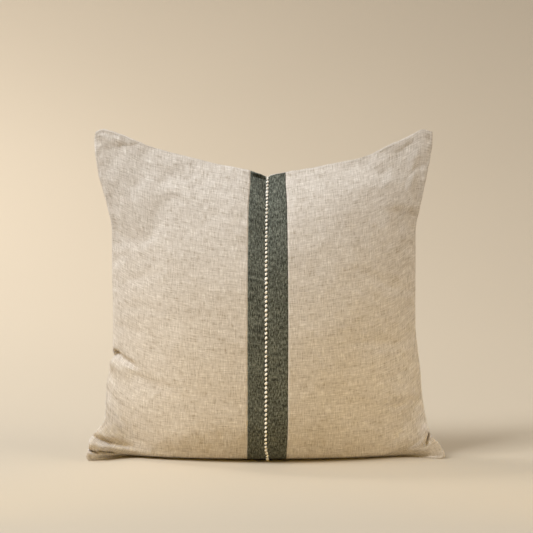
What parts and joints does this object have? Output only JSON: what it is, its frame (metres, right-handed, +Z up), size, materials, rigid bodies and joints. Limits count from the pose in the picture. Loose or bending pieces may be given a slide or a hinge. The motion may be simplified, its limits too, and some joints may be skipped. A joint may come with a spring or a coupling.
{
  "type": "throw pillow",
  "caption": "Square linen throw pillow with a dark centre stripe joined by a cream hand stitch, a zipped back and a filled pad inside.",
  "frame": {"origin": "middle of the flat underside that the pillow stands on", "axes": "+Z up, front faces -Y, X along the width"},
  "size_m": [0.508, 0.1663, 0.458],
  "materials": {
    "linen": "matte",
    "dark_stripe": "matte",
    "cream_thread": "matte",
    "linen_thread": "matte",
    "zip_tape": "matte",
    "zip_coil": "satin",
    "zip_metal": "satin",
    "insert_cotton": "matte",
    "fibre_filling": "matte"
  },
  "bodies": {
    "cover": {"front_panel_left": "linen", "front_panel_right": "linen", "back_panel_upper": "linen", "back_panel_lower": "linen", "dark_band_left": "dark_stripe", "dark_band_right": "dark_stripe", "joining_stitch": "cream_thread", "side_seam_thread": "linen_thread", "zip_stitching_upper": "linen_thread", "zip_stitching_lower": "linen_thread", "zip_tape_upper": "zip_tape", "zip_tape_lower": "zip_tape", "zip_coil_upper": "zip_coil", "zip_coil_lower": "zip_coil", "zip_top_stops": "zip_metal", "zip_bottom_stop": "zip_metal", "insert_casing_front": "insert_cotton", "insert_casing_back": "insert_cotton", "insert_filling": "fibre_filling"},
    "slider": {"zip_slider": "zip_metal"},
    "pull_tab": {"zip_pull_tab": "zip_metal"}
  },
  "joints": [
    {"name": "slider_travel", "type": "hinge", "parent": "cover", "child": "slider", "pos_m": [0, -0.24657, 0.112], "axis": [0, 0, -1], "range_deg": [0, 59.2]},
    {"name": "pull_tab_swing", "type": "hinge", "parent": "slider", "child": "pull_tab", "pos_m": [-0.16407, 0.04219, 0.112], "axis": [0, 0, 1], "range_deg": [0, 170]}
  ]
}
